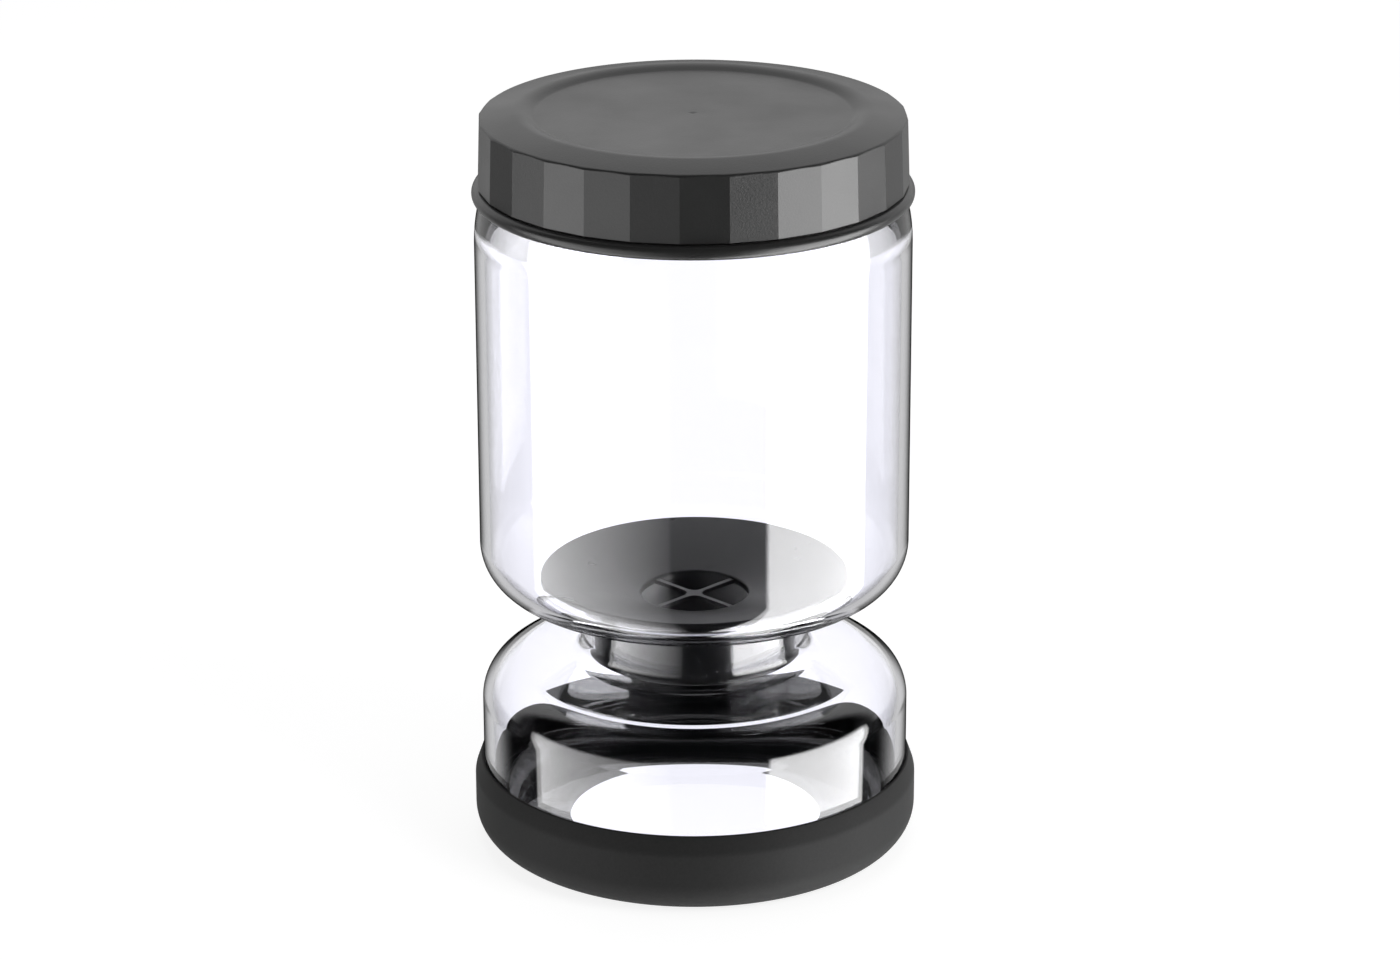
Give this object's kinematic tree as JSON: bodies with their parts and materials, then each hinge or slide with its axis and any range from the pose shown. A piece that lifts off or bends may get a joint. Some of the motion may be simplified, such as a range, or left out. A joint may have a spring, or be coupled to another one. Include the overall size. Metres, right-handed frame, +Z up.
{
  "type": "draining jar",
  "caption": "Hourglass glass jar with a large upper and a low lower chamber, a strainer in the neck, a screw lid with flat grip faces and a soft boot round the base.",
  "frame": {"origin": "on the jar's axis, at the level of the boot's underside", "axes": "+Z up along the jar's axis; -Y towards the viewer; +X to the viewer's right"},
  "size_m": [0.1042, 0.1042, 0.1771],
  "materials": {
    "clear_glass": "clear, smooth",
    "strainer_plastic": "satin",
    "lid_plastic": "fine matte texture",
    "boot_rubber": "matte silicone"
  },
  "bodies": {
    "root": {"glass_body": "clear_glass", "strainer": "strainer_plastic", "lid": "lid_plastic", "base_boot": "boot_rubber"}
  },
  "joints": []
}
